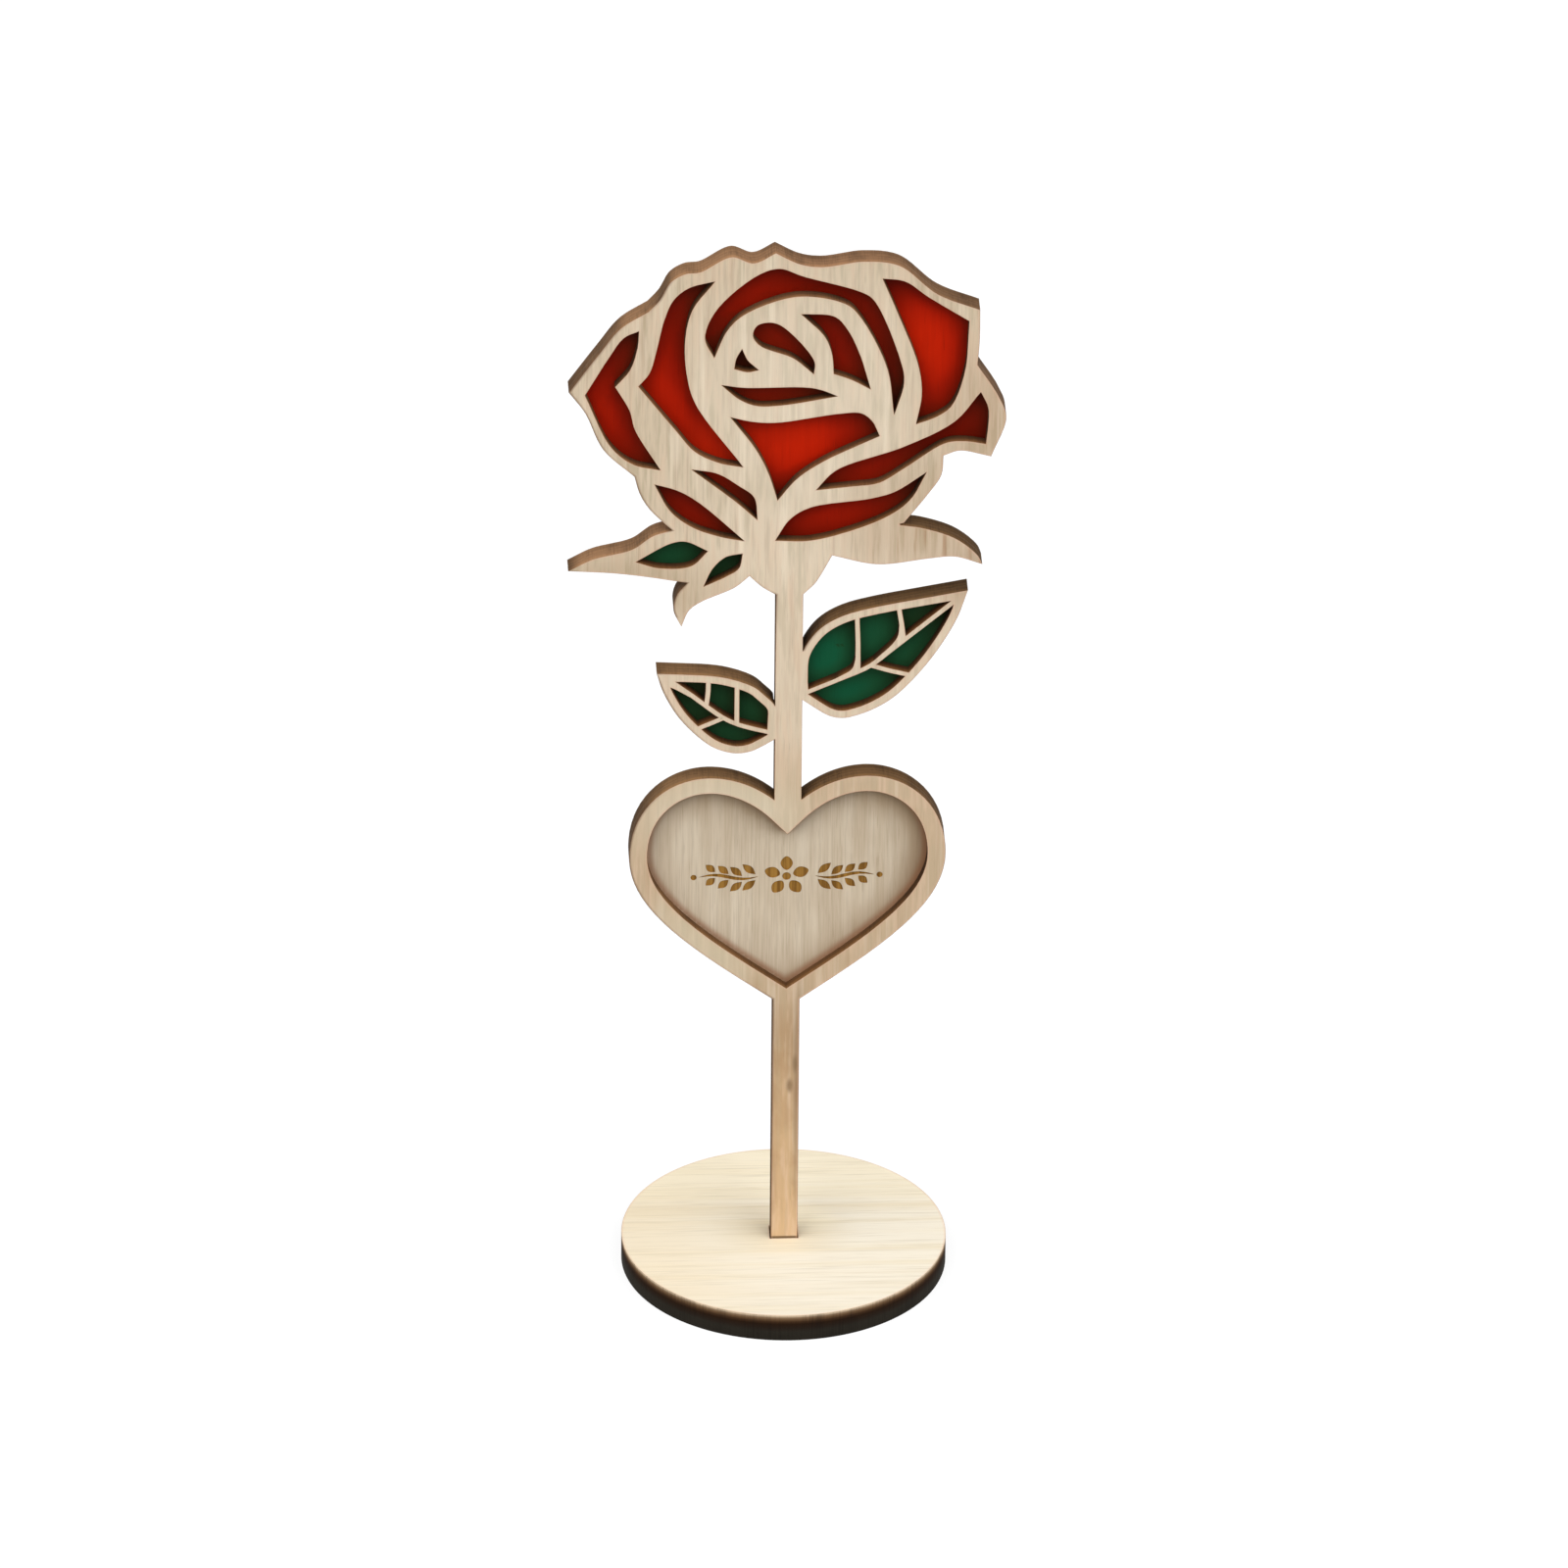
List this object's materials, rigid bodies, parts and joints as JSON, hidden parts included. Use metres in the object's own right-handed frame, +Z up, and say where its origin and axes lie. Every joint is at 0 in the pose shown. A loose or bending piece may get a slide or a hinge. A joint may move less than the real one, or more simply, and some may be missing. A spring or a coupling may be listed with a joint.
{
  "type": "wooden rose figurine",
  "caption": "Free-standing fretwork rose with leaves and a heart, laid up from thin glued boards, its stem plugged into a slotted round foot.",
  "frame": {"origin": "middle of the foot's underside, on the table", "axes": "+Z up the stem, the flower faces -Y, +X to the viewer's right"},
  "size_m": [0.119, 0.09, 0.3185],
  "materials": {
    "foot_veneer": "cream veneer, charred edge",
    "pale_veneer": "raw sanded veneer, charred edge",
    "warm_veneer": "raw sanded veneer, charred edge",
    "heart_veneer": "raw sanded veneer, engraved",
    "red_stain": "satin red stain on veneer",
    "green_stain": "satin green stain on veneer"
  },
  "bodies": {
    "foot": {"foot_disc": "foot_veneer"},
    "flower": {"front_fretwork": "pale_veneer", "rose_backing": "red_stain", "calyx_backing": "green_stain", "upper_stem_backing": "pale_veneer", "left_leaf_backing": "green_stain", "right_leaf_backing": "green_stain", "heart_plate": "heart_veneer", "lower_stem_backing": "warm_veneer"}
  },
  "joints": [
    {"name": "flower_lift", "type": "slide", "parent": "foot", "child": "flower", "axis": [0, 0, 1], "range_m": [0, 0.01]}
  ]
}
